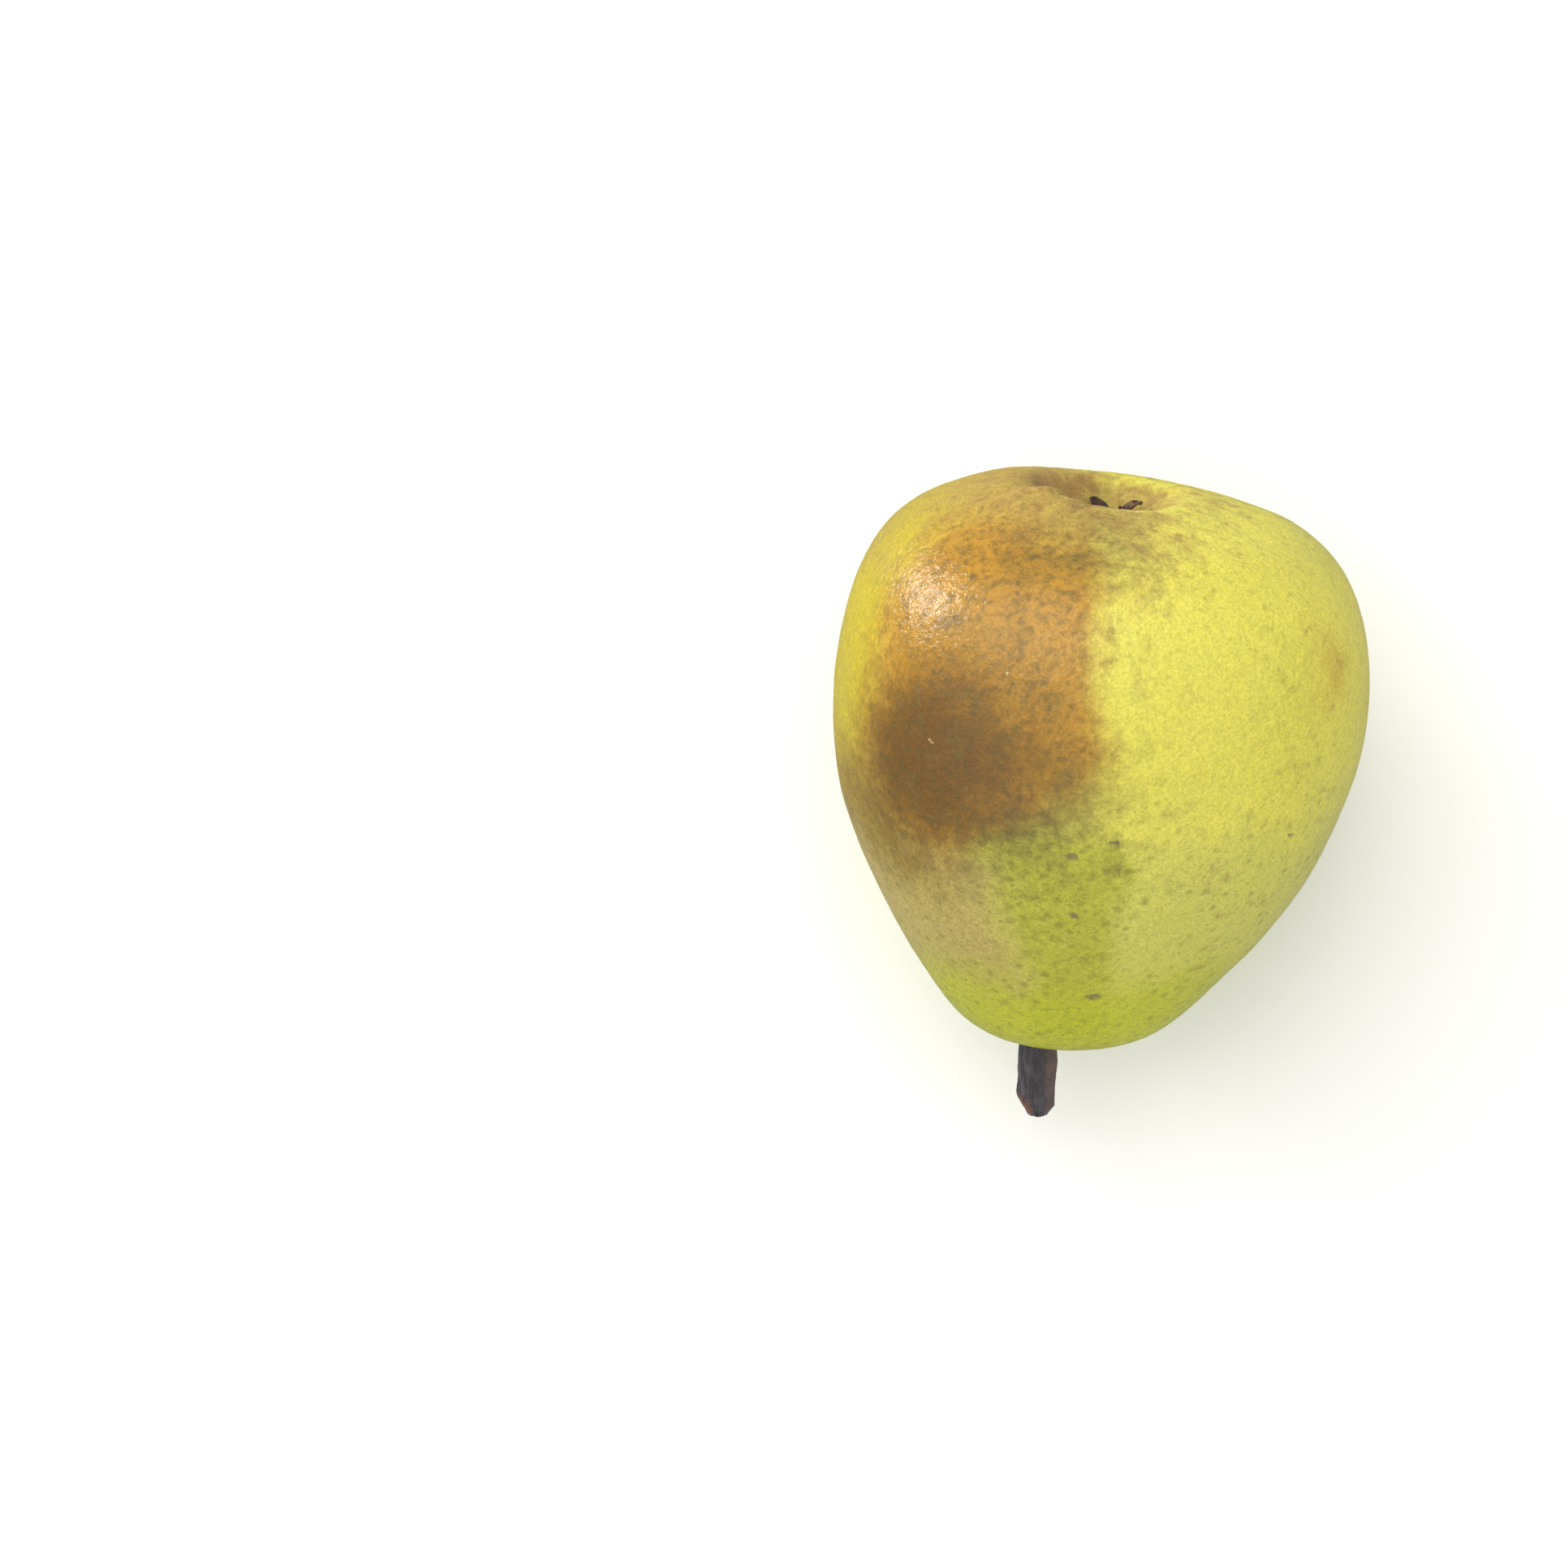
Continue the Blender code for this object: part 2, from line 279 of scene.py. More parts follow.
skinLook = {
    "yellow": "#dfd552", "paleGreen": "#cfcb5a", "green": "#b6b430", "deepGreen": "#86871e",
    # the left edge's gold-yellow is partly the skin's own colour and partly painted shade: it is made darker
    # there to stand in for the shade along that edge
    "neck": "#c2c616", "goldAndEdgeShade": "#bcab12", "ochre": "#92761a", "tan": "#bda65c", "crown": "#b19443",
    "amber": "#b8831c", "brown": "#644312", "olive": "#74662a", "speckle": "#57501f", "russet": "#9a7440",
    "dry": "#4a3220",
    "dotOnGreen": "#706d17", "dotOnBlush": "#5a4220", "scar": "#5c4448", "fleck": "#e0c98c",
    "noise": {"cloud": 0.13, "mottle": 0.42, "speckle": 1.0, "grain": 3.0, "peel": 1.3},   # to a millimetre
    "streakStretch": (0.5, 0.5, 0.09),     # streaks run along the pear
    "border": (0.25, 0.35),    # how wavy and how mottled the border of a shade is
    "fullFrom": (0.06, 0.94),  # amounts where a shade starts and where it is full
    "tints": [                 # shade, strength and border, painted over each other in this order
        # the first tint lies along the left edge and is darker there partly as painted shade
        ("goldAndEdgeShade", 0.90, 0.25, 0.35), ("tan", 0.85, 0.25, 0.35), ("crown", 0.85, 0.5, 0.8),
        ("amber", 0.94, 0.25, 0.35), ("ochre", 0.90, 0.25, 0.35), ("neck", 0.90, 0.5, 0.4),
        ("olive", 0.70, 0.5, 0.7), ("brown", 0.91, 0.4, 0.5), ("russet", 0.80, 0.5, 1.6),
    ],
    "dryTint": ("dry", 0.95, 0.2, 0.6),
    "greenBorder": (0.4, 0.5), "paleBorder": (1.1, 0.7), "russetBorder": (0.5, 1.6),
    # how strongly each of these is laid over the skin
    "greenShare": 0.9, "streakShare": 0.35, "deepShare": 0.55, "shadowShare": 0.30, "speckleShare": 0.55,
    "grainShade": (0.84, 1.13),
    # breathing dots and finer specks: how many to a millimetre, smallest and largest, faintest and darkest
    "dotsPerMm": 0.74, "dotSize": (0.32, 0.92), "dotStrength": (0.15, 0.62),
    "specksPerMm": 1.6, "speckSize": (0.06, 0.34), "speckStrength": (0.0, 0.6),
    "dotWobble": 0.45, "markWobble": 1.4, "markShare": 0.65,
    "roughness": 0.24, "smoother": 0.04, "rougher": 0.10,      # the last two are how far it varies
    "russetRoughness": 0.25, "dullRoughness": 0.28, "dotRoughness": 0.12,
    "ior": 1.42, "specular": 0.60, "coat": 0.12, "coatRoughness": 0.35,
    "glow": 0.12, "glowColour": (1.0, 0.7, 0.25), "glowDepth": 1.6,      # light back out of the flesh
    "peel": 0.19, "pores": 0.060, "dotHeight": 0.015, "crust": 0.05, "scarHeight": -0.06,   # millimetres
    "marks": [                 # shade, angle from the top of the lying pear, height, size and how flat
        ("scar", 3.5, -12.3, 1.1, 0.42), ("scar", -5.0, -14.0, 0.9, 0.7), ("scar", -4.0, -22.0, 0.6, 0.8),
        ("scar", 4.0, -34.3, 1.3, 0.42), ("scar", -22.0, 14.5, 0.5, 0.6), ("scar", 48.0, -15.0, 0.7, 0.5),
        ("scar", 131.0, -9.0, 1.3, 0.5), ("scar", -130.0, 2.0, 0.9, 0.5), ("scar", 173.0, 6.0, 1.4, 0.45),
        ("scar", 96.0, -27.0, 0.7, 0.6), ("fleck", -36.5, -2.0, 0.36, 0.8), ("fleck", -20.0, 6.5, 0.36, 0.8),
        ("fleck", 118.0, 4.0, 0.45, 0.7),
    ],
}


def skinMaterial():
    look = skinLook
    material, tree, shader = newMaterial("pearSkin")
    place = attribute(tree, "pearPlace", "Vector")
    shades = {name: colourOf(value) for name, value in look.items() if isinstance(value, str)}
    scale = look["noise"]

    cloud = noiseNode(tree, place, scale["cloud"], 3.0, 0.6)
    mottle = noiseNode(tree, place, scale["mottle"], 4.0, 0.62, 0.3)
    speckle = noiseNode(tree, place, scale["speckle"], 2.0, 0.5)
    grain = noiseNode(tree, place, scale["grain"], 2.0, 0.6)
    streak = noiseNode(tree, vectorCalc(tree, "MULTIPLY", place, look["streakStretch"]), 1.0, 4.0, 0.6)

    def times(first, second):
        return calc(tree, "MULTIPLY", first, second)

    def plus(first, second):
        return calc(tree, "ADD", first, second)

    def softened(name, cloudy, mottled):
        wave = times(calc(tree, "SUBTRACT", cloud, 0.5), cloudy)
        speck = times(calc(tree, "SUBTRACT", mottle, 0.5), mottled)
        return ramp(tree, plus(attribute(tree, name), plus(wave, speck)), *look["fullFrom"])

    def tinted(colour, name, strength, cloudy, mottled):
        return blendColour(tree, times(softened(name, cloudy, mottled), strength), colour, shades[name])

    blush = softened("amber", *look["border"])
    green = softened("green", *look["greenBorder"])
    colour = blendColour(tree, softened("pale", *look["paleBorder"]), shades["yellow"], shades["paleGreen"])
    colour = blendColour(tree, times(green, look["greenShare"]), colour, shades["green"])
    streaky = times(ramp(tree, streak, 0.46, 0.74), look["streakShare"])
    colour = blendColour(tree, streaky, colour, shades["paleGreen"])
    deeper = times(ramp(tree, mottle, 0.50, 0.74), times(green, look["deepShare"]))
    colour = blendColour(tree, deeper, colour, shades["deepGreen"])
    for tint in look["tints"]:
        colour = tinted(colour, *tint)

    # soft dark clouds and olive speckles over the blush, then the fine grain of the skin
    shadow = times(ramp(tree, mottle, 0.48, 0.76), times(blush, look["shadowShare"]))
    colour = blendColour(tree, shadow, colour, shades["olive"])
    speckled = times(ramp(tree, speckle, 0.42, 0.74), attribute(tree, "speckled"))
    colour = blendColour(tree, times(speckled, look["speckleShare"]), colour, shades["speckle"])
    grainy = ramp(tree, grain, 0.25, 0.75, *look["grainShade"])
    colour = blendColour(tree, 1.0, colour, greyOf(tree, grainy), "MULTIPLY")

    # breathing dots: each sits in a cell of its own and has its own size and strength
    swirl = wobbled(tree, place, 1.6, 2.0, look["dotWobble"])
    dark = blendColour(tree, blush, shades["dotOnGreen"], shades["dotOnBlush"])
    crowd = attribute(tree, "dotCrowd")

    def dots(perMm, sizes, core):
        cells = addNode(tree, "ShaderNodeTexVoronoi", {"Vector": swirl, "Scale": perMm, "Randomness": 1.0})
        tint = addNode(tree, "ShaderNodeSeparateColor", {"Color": cells.outputs["Color"]})
        size = ramp(tree, tint.outputs[0], 0.0, 1.0, sizes[0] * perMm, sizes[1] * perMm)
        near = calc(tree, "DIVIDE", cells.outputs["Distance"], size)
        return ramp(tree, near, 1.0, core), tint.outputs[1]

    dot, dotTone = dots(look["dotsPerMm"], look["dotSize"], 0.0)
    speck, speckTone = dots(look["specksPerMm"], look["speckSize"], 0.1)
    dotShare = times(dot, times(ramp(tree, dotTone, 0.1, 1.0, *look["dotStrength"]), crowd))
    colour = blendColour(tree, dotShare, colour, dark)
    speckShare = times(speck, times(ramp(tree, speckTone, 0.2, 1.0, *look["speckStrength"]), crowd))
    colour = blendColour(tree, speckShare, colour, dark)

    # small healed scars and pale flecks
    uneven = wobbled(tree, place, 1.5, 3.0, look["markWobble"])
    drawn = {}
    shift = look["markWobble"] / 2.0      # the noise averages a half
    for shade, facing, height, size, flat in look["marks"]:
        centre = tuple(part + shift for part in skinSpot(facing, height))
        away = vectorCalc(tree, "SUBTRACT", uneven, centre)
        length = vectorCalc(tree, "LENGTH", vectorCalc(tree, "MULTIPLY", away, (1.0, 0.6, 1.0 / flat)))
        mark = ramp(tree, length, size, size * 0.3)
        drawn[shade] = calc(tree, "MAXIMUM", drawn[shade], mark) if shade in drawn else mark
    for shade, mark in drawn.items():
        colour = blendColour(tree, times(mark, look["markShare"]), colour, shades[shade])

    # dark dry skin at the eye and in the stem's seat
    colour = tinted(colour, *look["dryTint"])
    plug(tree, shader.inputs["Base Color"], colour)

    smoothest = look["roughness"] - look["smoother"]
    rough = ramp(tree, mottle, 0.2, 0.8, smoothest, look["roughness"] + look["rougher"])
    coarse = calc(tree, "MAXIMUM", softened("russet", *look["russetBorder"]), drawn["scar"])
    rough = plus(rough, times(coarse, look["russetRoughness"]))
    rough = plus(rough, times(attribute(tree, "dull"), look["dullRoughness"]))
    rough = calc(tree, "ADD", rough, times(dot, look["dotRoughness"]), clamp=True)
    plug(tree, shader.inputs["Roughness"], rough)
    for socket, value in {
        "IOR": look["ior"], "Specular IOR Level": look["specular"],
        "Coat Weight": look["coat"], "Coat Roughness": look["coatRoughness"],
        "Subsurface Weight": look["glow"], "Subsurface Radius": look["glowColour"],
        "Subsurface Scale": look["glowDepth"] * mm,
    }.items():
        shader.inputs[socket].default_value = value

    # heights in millimetres: pores, dots that stand up, sunken scars
    peel = times(noiseNode(tree, place, scale["peel"], 2.0, 0.55), look["peel"])
    height = plus(peel, times(grain, look["pores"]))
    crust = times(times(attribute(tree, "russet"), grain), look["crust"])
    height = plus(height, plus(times(dot, look["dotHeight"]), crust))
    height = plus(height, times(drawn["scar"], look["scarHeight"]))
    bump = addNode(tree, "ShaderNodeBump", {"Height": height, "Distance": mm, "Strength": 1.0})
    plug(tree, shader.inputs["Normal"], bump.outputs["Normal"])
    print("skin finish made:", len(tree.nodes), "nodes")
    return material


# the fruit: a fine grid on the shape above, with its folds, lumps and dents, and where each shade lies on it

fruitPiece = {
    "around": 384, "along": 250,
    "lumps": [(0.055, 0.42), (0.16, 0.12), (0.5, 0.035)],   # how many to a millimetre, height
    "crownFrom": (8.0, 14.0), "neckFrom": (-38.0, -42.0),   # heights where their relief starts and is full
    "foldCount": 17,
    # rings of relief round the eye, then round the stem: height, distance and its spread
    "folds": (0.30, 8.0, 3.2), "rimCreases": (0.16, 5.5, 2.6), "eyeRing": (0.55, 2.7, 0.6),
    "eyePit": (-1.0, 0.0, 1.0),
    "collar": (0.55, 3.5, 0.75), "seatWrinkles": (0.20, 4.5, 2.2),
    "flatSoft": 0.5,           # how far above the table the flattened side starts
    "dents": [                 # around in degrees, height, width, depth
        (-60.0, 2.0, 5.0, 0.22), (30.0, -14.0, 6.0, 0.30), (120.0, 6.0, 7.0, 0.35),
        (-150.0, -16.0, 5.0, 0.20), (170.0, 10.0, 5.0, 0.25), (75.0, -24.0, 5.0, 0.22),
    ],
    # sides are in degrees from the skin that looks up as the pear lies, less than 0 towards the high shoulder
    # how far a border wanders, and how many times to a millimetre
    "sideWander": [(4.0, 0.10), (2.0, 0.32)], "levelWander": [(2.5, 0.11), (1.2, 0.35)],
    # fades: where a shade starts and where it is full, by side, by height or by distance
    "amberSides": [(-78.0, -40.0), (9.0, -7.0)], "amberLow": (-4.0, 7.0),
    # this band runs along the left edge; its darker colour there is painted shade as well as the skin's
    # gold-yellow
    "goldAndEdgeShadeSides": [(-44.0, -66.0), (-125.0, -95.0)], "goldAndEdgeShadeLow": (-24.0, -14.0),
    "tanSides": [(-12.0, -36.0), (-120.0, -85.0)], "tanTop": (-11.0, -18.0), "tanEnd": (-34.0, -40.0),
    "greenSides": [(-36.0, -14.0), (14.0, -3.0)], "greenTop": (-6.0, -16.0),
    "backGreen": 0.45, "backSides": (70.0, 130.0),
    "paleTop": (-4.0, -24.0), "neckTop": (-23.0, -42.0), "rimLow": (8.0, 15.0),
    "nearEye": (24.0, 12.0), "dullNearEye": (24.0, 15.0), "dullNearStem": (9.0, 4.0),
    "rimFromShoulder": (125.0, 55.0), "dotsTop": (-4.0, -20.0),
    "dryAtEye": (4.4, 2.4), "dryAtStem": (3.2, 2.3),
    # the blush's lower edge falls away towards the high shoulder
    "lowEdge": -7.5, "lowEdgeSlope": 0.28, "lowEdgeEnd": -36.0,
    # spots: strength, side and its spread, height and its spread
    "farAmber": (0.45, 58.0, 7.0, 4.0, 5.0), "backAmber": (0.35, 155.0, 22.0, 4.0, 11.0),
    "warmSpot": (0.90, -7.0, 7.0, 10.0, 5.0), "rimOlive": (0.62, -5.0, 22.0, 18.2, 3.2),
    "lowTan": (0.25, 22.0, 9.0, -19.0, 6.0), "rimTan": (0.45, 12.0, 12.0, 19.0, 4.0),
    "farGreen": (0.30, 42.0, 10.0, 0.0, 9.0),
    "edgeOlive": (0.80, -12.0, 14.0, 0.0, 4.5),     # its height is from the lower edge
    # lopsided spots: middle, spread below it and spread above it
    "brownSide": (-38.0, 16.5, 21.0), "brownLevel": (-4.0, 9.8, 9.4), "brownTilt": 0.10, "brownOnAmber": 0.30,
    "ochreSide": (-60.0, 22.0, 17.0), "ochreLevel": (-13.5, 6.2, 6.2), "ochreShare": 0.90,
    # rings: strength, distance from the eye or the stem, spread
    "eyeRusset": [(0.85, 5.8, 2.6), (0.40, 11.0, 4.0)], "stemRusset": (0.60, 2.6, 1.4),
    "rimGreen": (0.35, 15.0, 5.0), "rimGreenSide": (0.0, 20.0),
    "rimBrown": (0.80, 6.6, 2.2), "shoulderSide": -70.0, "shoulderSpread": 24.0,
}


def ring(distance, strength, middle, spread):
    return strength * bell(distance, middle, spread)


def lopsided(value, middle, below, above):
    return np.where(value < middle, bell(value, middle, below), bell(value, middle, above))


def fade(value, *spans):
    out = 1.0
    for start, full in spans:
        out = out * smoothStep(start, full, value)
    return out


def wanderAt(points, waves, seed):
    return sum(far * noiseAt(points, scale, seed + i) for i, (far, scale) in enumerate(waves))


def fruitRelief(points, around):
    p = fruitPiece
    x, y, z = points.T
    out = np.zeros(len(points))
    for i, (scale, height) in enumerate(p["lumps"]):
        out += height * noiseAt(points, scale, i + 1.0)
    # folds that run from the eye over the rim, each of its own depth
    fromEye = np.hypot(x - eye.x, y - eye.y)
    crown = fade(z, p["crownFrom"])
    wander = 0.35 * np.array([noise.noise(Vector((distance * 0.12, 2.0, 0.0))) for distance in fromEye])
    fold = np.zeros(len(points))
    for i in range(p["foldCount"]):
        turn = around * (3 + i) + 2.4 * i + wander * (3 + i)
        fold += np.cos(turn) / (3 + 0.6 * i)
    out += fold * crown * ring(fromEye, *p["folds"])
    creaseLines = np.stack((np.cos(around) * 5.0, np.sin(around) * 5.0, fromEye * 0.10), axis=1)
    out += noiseAt(creaseLines, 1.0, 9.0) * crown * ring(fromEye, *p["rimCreases"])
    out += crown * (ring(fromEye, *p["eyeRing"]) + ring(fromEye, *p["eyePit"]))
    # the flesh closes round the stem, higher on one side
    aside = x - pearShape["seatX"]
    fromStem = np.hypot(aside, y)
    turnAtStem = np.arctan2(y, aside)
    neck = fade(z, p["neckFrom"])
    lip = 1.0 + 0.35 * np.cos(turnAtStem - 0.5) + 0.15 * np.cos(3.0 * turnAtStem + 1.0)
    out += neck * lip * ring(fromStem, *p["collar"])
    wrinkleLines = np.stack((np.cos(turnAtStem) * 3.2, np.sin(turnAtStem) * 3.2, fromStem * 0.2), axis=1)
    out += neck * noiseAt(wrinkleLines, 1.0, 4.0) * ring(fromStem, *p["seatWrinkles"])
    for turn, height, width, depth in p["dents"]:
        middle = math.radians(turn)
        gap = np.arctan2(np.sin(around - middle), np.cos(around - middle)) * np.hypot(x, y)
        out -= depth * np.exp(-(gap**2 + (z - height) ** 2) / (2.0 * width**2))
    return out


def skinMasks(points):
    # how much of each shade lies at each point, from 0 to 1
    p = fruitPiece
    x, y, z = points.T
    facing = np.degrees(np.arctan2(x, -y))
    side = facing + wanderAt(points, p["sideWander"], 11.0)
    level = z + wanderAt(points, p["levelWander"], 13.0)
    fromEye = np.hypot(x - eye.x, y - eye.y)
    fromStem = np.hypot(x - pearShape["seatX"], y)
    crown = fade(z, p["rimLow"])
    neck = fade(level, p["neckTop"])
    nearEye = fade(fromEye, p["nearEye"])
    # degrees round from the high shoulder
    shoulder = np.abs((facing - p["shoulderSide"] + 180.0) % 360.0 - 180.0)

    def spot(name, sides=side, heights=level):
        strength, angle, wide, height, tall = p[name]
        return strength * bell(sides, angle, wide) * bell(heights, height, tall)

    aboveEdge = level - p["lowEdge"] - p["lowEdgeSlope"] * np.clip(side, p["lowEdgeEnd"], 0.0)
    amber = fade(side, *p["amberSides"]) * fade(aboveEdge, p["amberLow"]) * (1.0 - 0.7 * nearEye * crown)
    allAmber = np.maximum(amber, np.maximum(spot("farAmber"), spot("backAmber", np.abs(side))))
    tilt = p["brownTilt"] * np.clip(side - p["brownSide"][0], -30.0, 30.0)
    brown = lopsided(side, *p["brownSide"]) * lopsided(level - tilt, *p["brownLevel"])
    brown = np.maximum(brown, p["brownOnAmber"] * amber * (1.0 - spot("warmSpot")))
    onShoulder = crown * bell(shoulder, 0.0, p["shoulderSpread"])
    brown = np.maximum(brown, onShoulder * ring(fromEye, *p["rimBrown"]))
    ochre = p["ochreShare"] * lopsided(side, *p["ochreSide"]) * lopsided(level, *p["ochreLevel"])
    olive = np.maximum(spot("rimOlive"), spot("edgeOlive", side, aboveEdge))
    # the left edge band: gold-yellow skin, darkened as painted shade along that edge
    goldAndEdgeShade = fade(side, *p["goldAndEdgeShadeSides"]) * fade(level, p["goldAndEdgeShadeLow"])
    tan = fade(side, *p["tanSides"]) * fade(level, p["tanTop"]) * (1.0 - 0.5 * fade(z, p["tanEnd"]))
    tan = np.maximum(tan, np.maximum(spot("lowTan"), spot("rimTan")))
    green = fade(level, p["greenTop"]) * fade(side, *p["greenSides"])
    green = np.maximum(green, p["backGreen"] * fade(np.abs(side), p["backSides"]))
    green = np.maximum(green, spot("farGreen"))
    green = np.maximum(green, crown * bell(side, *p["rimGreenSide"]) * ring(fromEye, *p["rimGreen"]))
    rim = crown * (0.45 + 0.55 * nearEye) * (0.2 + 0.8 * fade(shoulder, p["rimFromShoulder"]))
    russet = crown * np.maximum(*(ring(fromEye, *row) for row in p["eyeRusset"]))
    russet = np.maximum(russet, neck * ring(fromStem, *p["stemRusset"]))
    dry = np.maximum(crown * fade(fromEye, p["dryAtEye"]), 0.7 * neck * fade(fromStem, p["dryAtStem"]))
    blush = np.maximum(amber, np.maximum(brown, olive))
    speckled = 0.85 * blush + 0.55 * ochre + 0.35 * green + 0.30 * rim + 0.06
    dull = crown * fade(fromEye, p["dullNearEye"]) + 0.5 * neck * fade(fromStem, p["dullNearStem"])
    crowd = 0.35 + 0.50 * fade(z, p["dotsTop"]) + 0.12 * amber + 0.25 * crown
    return {
        "amber": allAmber, "brown": brown, "olive": olive, "goldAndEdgeShade": goldAndEdgeShade, "ochre": ochre, "tan": tan,
        "green": green, "pale": fade(level, p["paleTop"]), "neck": neck, "crown": rim, "russet": russet,
        "dry": dry, "speckled": np.clip(speckled, 0.0, 1.0), "dull": np.clip(dull, 0.0, 1.0),
        "dotCrowd": np.clip(crowd, 0.0, 1.0),
    }


def settled(world, soft):
    # the side it lies on settles flat on the table
    low = world[:, 2] < soft
    drop = world[low, 2]
    world[low, 2] = np.where(drop < 0.0, 0.0, drop**2 * (2.0 - drop / soft) / soft)
    return world


def makeFruit(material):
    p = fruitPiece
    mesh, ball = ballMesh("pearFruit", p["around"], p["along"])
    around = np.arctan2(ball[:, 1], ball[:, 0])
    points = fruitPoints(np.arccos(np.clip(ball[:, 2], -1.0, 1.0)) / math.pi, around)
    setPoints(mesh, points)
    mesh.update()
    normals = np.zeros(len(mesh.vertices) * 3, dtype=np.float32)
    mesh.vertices.foreach_get("normal", normals)
    raised = points + normals.reshape(-1, 3) * fruitRelief(points, around)[:, None]
    setPoints(mesh, settled(inWorld(raised), p["flatSoft"] * mm))
    storeOn(mesh, "pearPlace", points, skinMasks(points))
    mesh.update()
    newPiece("pearFruit", mesh, material, "skin", "fruit")
    print("fruit shaped:", len(mesh.polygons), "faces")


makeFruit(skinMaterial())


# the stem: a short woody stalk with furrows, small knobs and a blunt chipped tip

stemPiece = {
    "around": 72, "along": 110,
    "rootRings": 3, "capRings": 12,      # rings of the ball that close the root and the cut end
    "top": -42.4, "length": 14.6, "radius": 2.25, "bow": 0.45, "shift": 0.18,
    "rootFlare": 0.55, "flareLength": 1.3, "tipSwell": 0.16, "swellFrom": (3.0, 11.0),
    "tipRadius": 1.60, "chamferLeft": 2.6, "chamferRight": 1.0, "chamferPower": 1.1,
    "furrows": 0.096, "knobs": 0.14, "grain": 0.035,
    "leftSwell": 0.34, "leftSwellAt": (12.3, 1.0), "rightTaper": 0.60, "taperFrom": (7.5, 13.5),
    "chips": 0.35, "endDome": 0.30,
    "dark": "#302c30", "grey": "#545156", "mauve": "#6e5a57", "rust": "#9a5b3c", "speck": "#9d999b",
    "wood": "#66594f",
    "specksPerMm": 2.4, "speckSize": 0.36, "speckShare": 0.32, "rustShare": 0.25,
    "fibreDepth": 0.14, "fineDepth": 0.05, "speckHeight": 0.04, "bump": 0.7,
}


def stemMaterial():
    look = stemPiece
    material, tree, shader = newMaterial("stemBark")
    place = attribute(tree, "stemPlace", "Vector")
    shades = {name: colourOf(value) for name, value in look.items() if isinstance(value, str)}

    def times(first, second):
        return calc(tree, "MULTIPLY", first, second)

    fibres = noiseNode(tree, vectorCalc(tree, "MULTIPLY", place, (1.6, 1.6, 0.45)), 1.0, 5.0, 0.65)
    patches = noiseNode(tree, place, 0.45, 4.0, 0.6)
    fine = noiseNode(tree, place, 3.5, 3.0, 0.6)
    colour = blendColour(tree, ramp(tree, fibres, 0.38, 0.70), shades["dark"], shades["grey"])
    mauve = times(attribute(tree, "aside"), ramp(tree, patches, 0.25, 0.65, 0.3, 0.9))
    colour = blendColour(tree, mauve, colour, shades["mauve"])
    rust = times(ramp(tree, patches, 0.60, 0.80), look["rustShare"])
    rust = calc(tree, "MAXIMUM", rust, times(attribute(tree, "edge"), ramp(tree, fine, 0.3, 0.6)))
    colour = blendColour(tree, rust, colour, shades["rust"])
    cells = addNode(tree, "ShaderNodeTexVoronoi", {"Vector": place, "Scale": look["specksPerMm"]})
    tint = addNode(tree, "ShaderNodeSeparateColor", {"Color": cells.outputs["Color"]})
    size = ramp(tree, tint.outputs[0], 0.30, 1.0, 0.0, look["speckSize"])
    near = calc(tree, "DIVIDE", cells.outputs["Distance"], calc(tree, "ADD", size, 0.001))   # never by 0
    speck = ramp(tree, near, 1.0, 0.0)
    colour = blendColour(tree, times(speck, look["speckShare"]), colour, shades["speck"])
    cut = times(attribute(tree, "cut"), ramp(tree, fine, 0.3, 0.7, 0.5, 0.9))
    colour = blendColour(tree, cut, colour, shades["wood"])
    plug(tree, shader.inputs["Base Color"], colour)
    plug(tree, shader.inputs["Roughness"], ramp(tree, fibres, 0.3, 0.7, 0.62, 0.88))
    height = calc(tree, "ADD", times(fibres, look["fibreDepth"]), times(fine, look["fineDepth"]))
    height = calc(tree, "ADD", height, times(speck, look["speckHeight"]))
    bump = addNode(tree, "ShaderNodeBump", {"Height": height, "Distance": mm, "Strength": look["bump"]})
    plug(tree, shader.inputs["Normal"], bump.outputs["Normal"])
    return material


